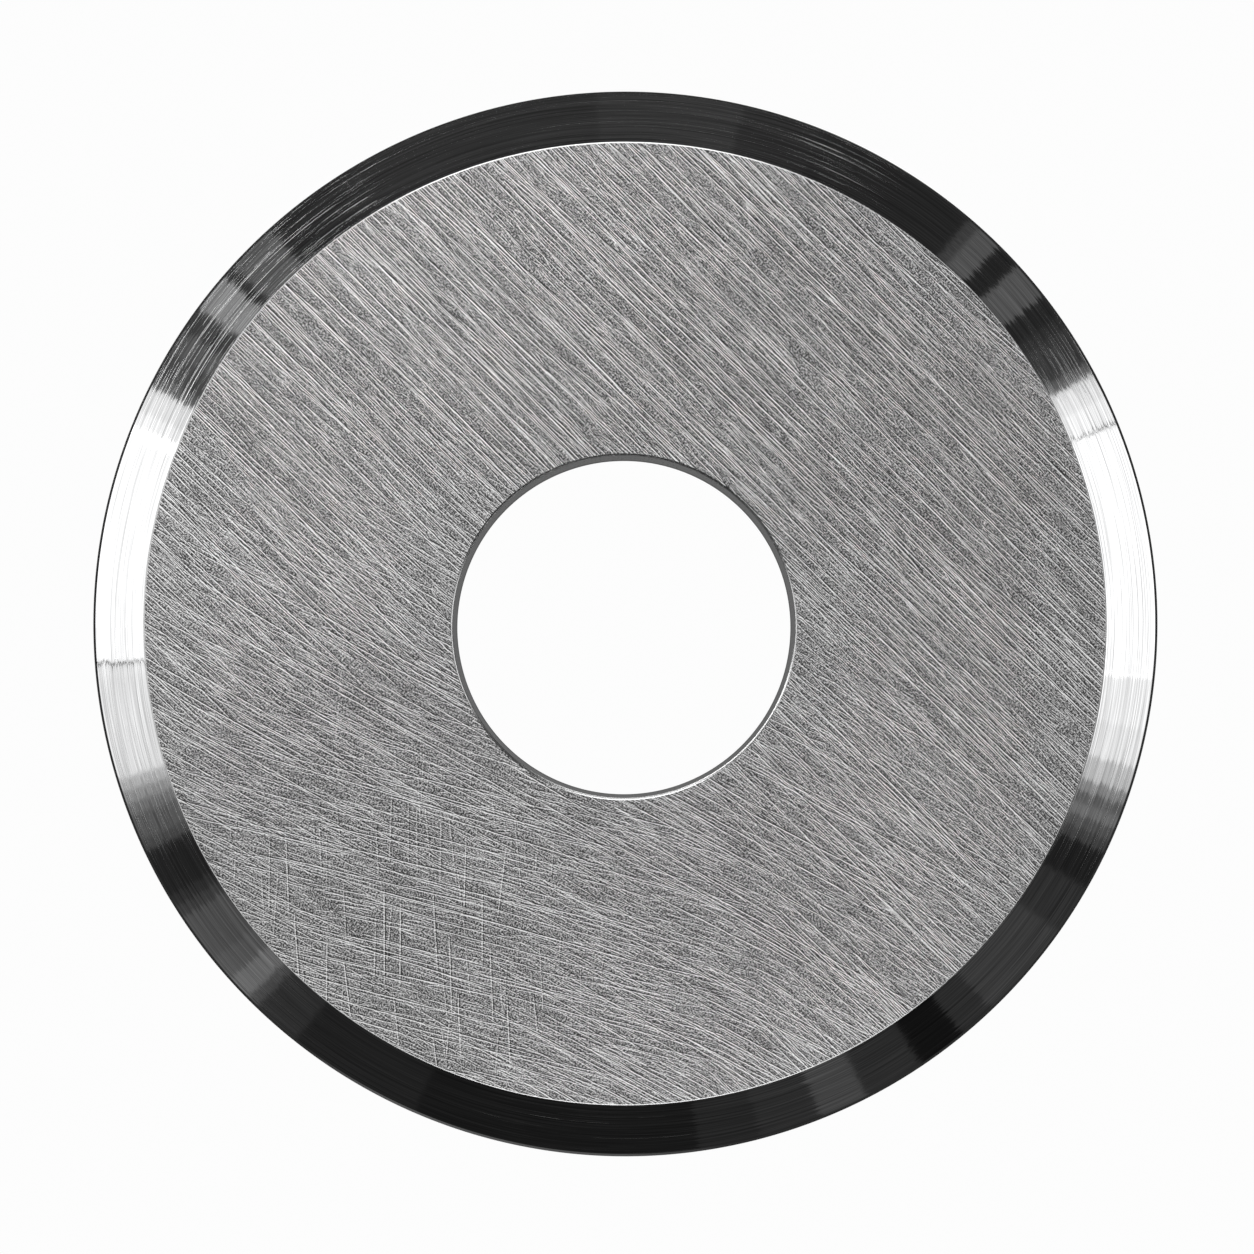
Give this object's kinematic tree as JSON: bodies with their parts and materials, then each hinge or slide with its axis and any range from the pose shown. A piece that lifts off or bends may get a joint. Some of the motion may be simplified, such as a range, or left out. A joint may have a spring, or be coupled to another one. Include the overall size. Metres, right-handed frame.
{
  "type": "circular knife",
  "caption": "Flat circular slitting knife: a hardened disc with a plain central bore and a bevel ground out to the cutting edge.",
  "frame": {"origin": "centre of the bore on the flat back face", "axes": "+Z along the bore axis, from the flat back face towards the bevelled front face"},
  "size_m": [0.08, 0.08, 0.003],
  "materials": {
    "ground_steel": "flat ground face with a bright ground bevel"
  },
  "bodies": {
    "root": {"knife_disc": "ground_steel"}
  },
  "joints": []
}
